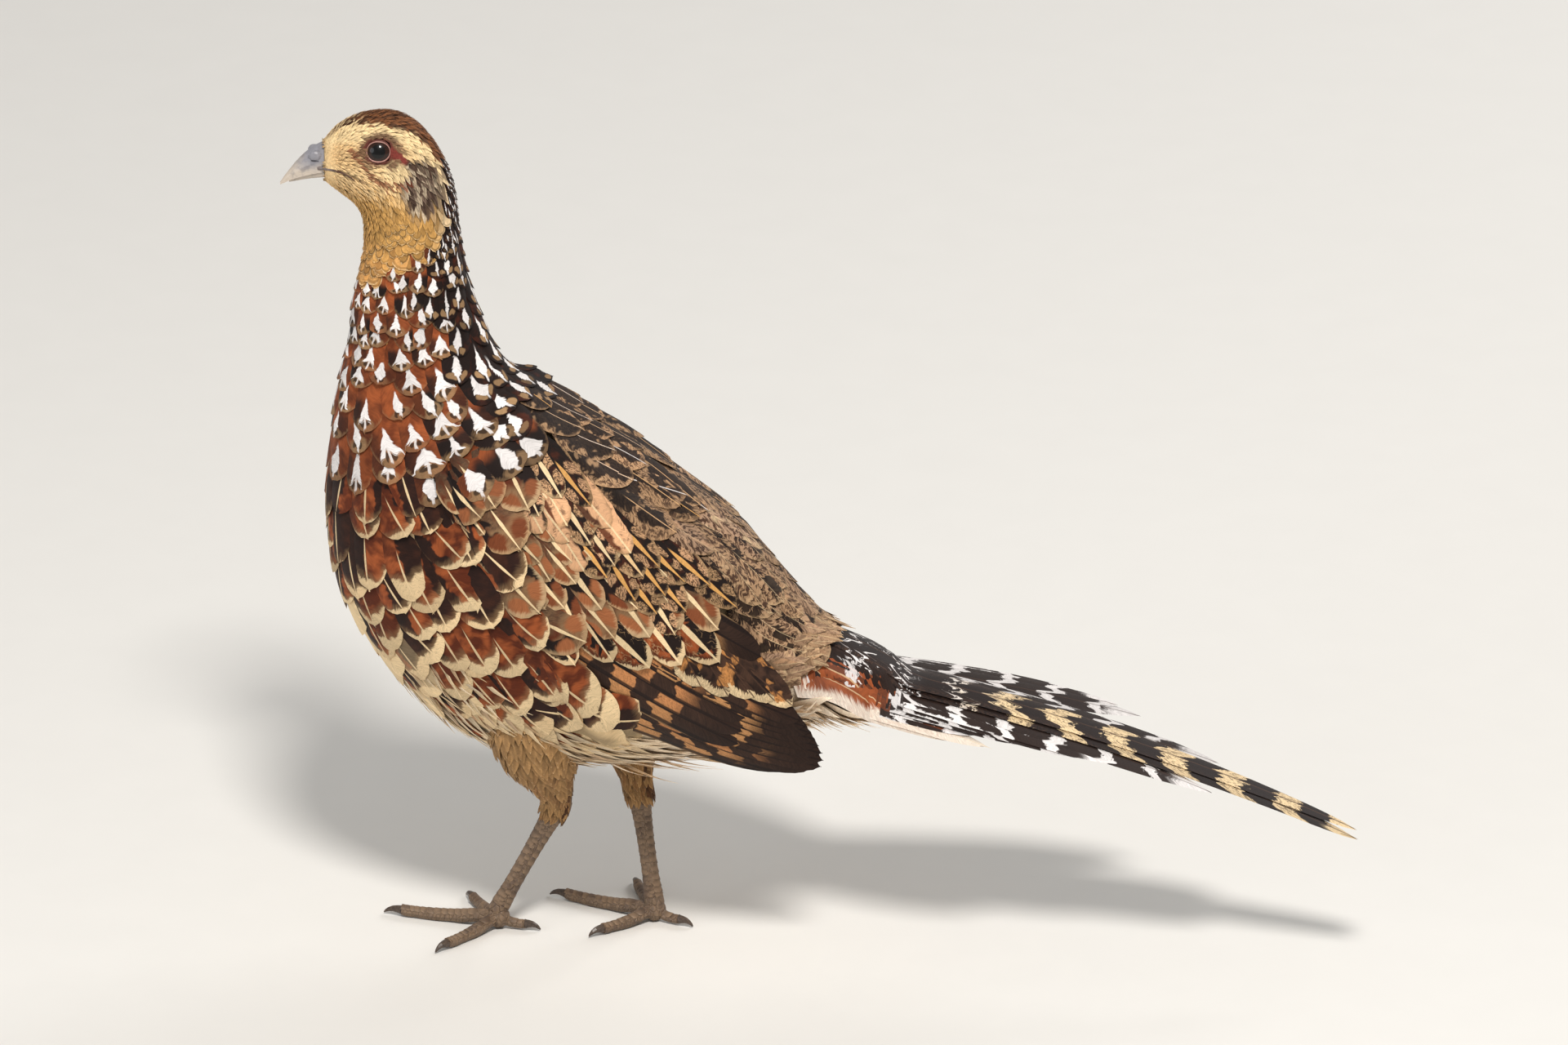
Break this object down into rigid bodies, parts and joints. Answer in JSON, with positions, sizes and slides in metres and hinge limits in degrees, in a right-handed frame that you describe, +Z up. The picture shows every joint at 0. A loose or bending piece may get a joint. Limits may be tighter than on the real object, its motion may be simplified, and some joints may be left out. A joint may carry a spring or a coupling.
{
  "type": "reeves pheasant",
  "caption": "Life-size hen pheasant that stands by itself with its head up and one foot forward, wings folded and its barred tail part spread, as a still model for a display or a scene.",
  "frame": {"origin": "on the floor, under the middle of the bird's box", "axes": "+Z up, the bird faces -X and its left side is towards -Y, so X is its length from bill to tail"},
  "size_m": [0.503, 0.1318, 0.4101],
  "materials": {
    "head_plumage": "short, close feathers, buff with a brown crown and ear patch",
    "neck_plumage": "small rufous and black feathers with white marks",
    "body_plumage": "overlapping body feathers, chestnut, black, buff and cream",
    "wing_plumage": "coverts and flight feathers, rufous and dark brown with cream shafts",
    "tail_plumage": "long vanes barred in dark brown and cream",
    "leg_plumage": "short soft feathers, tan",
    "leg_scales": "small horny scales, satin",
    "bill_horn": "horn, semi-gloss, blue grey to ivory",
    "eye_gloss": "wet gloss, nearly black",
    "claw_horn": "horn, semi-gloss"
  },
  "bodies": {
    "root": {"bill_lower": "bill_horn", "bill_upper": "bill_horn", "claw_left_hind": "claw_horn", "claw_left_inner": "claw_horn", "claw_left_middle": "claw_horn", "claw_left_outer": "claw_horn", "claw_right_hind": "claw_horn", "claw_right_inner": "claw_horn", "claw_right_middle": "claw_horn", "claw_right_outer": "claw_horn", "eye_left": "eye_gloss", "eye_right": "eye_gloss", "foot_left": "leg_scales", "foot_right": "leg_scales", "head": "head_plumage", "neck": "neck_plumage", "shank_left": "leg_scales", "shank_right": "leg_scales", "tail": "tail_plumage", "thigh_left": "leg_plumage", "thigh_right": "leg_plumage", "torso": "body_plumage", "wing_left": "wing_plumage", "wing_right": "wing_plumage"}
  },
  "joints": []
}
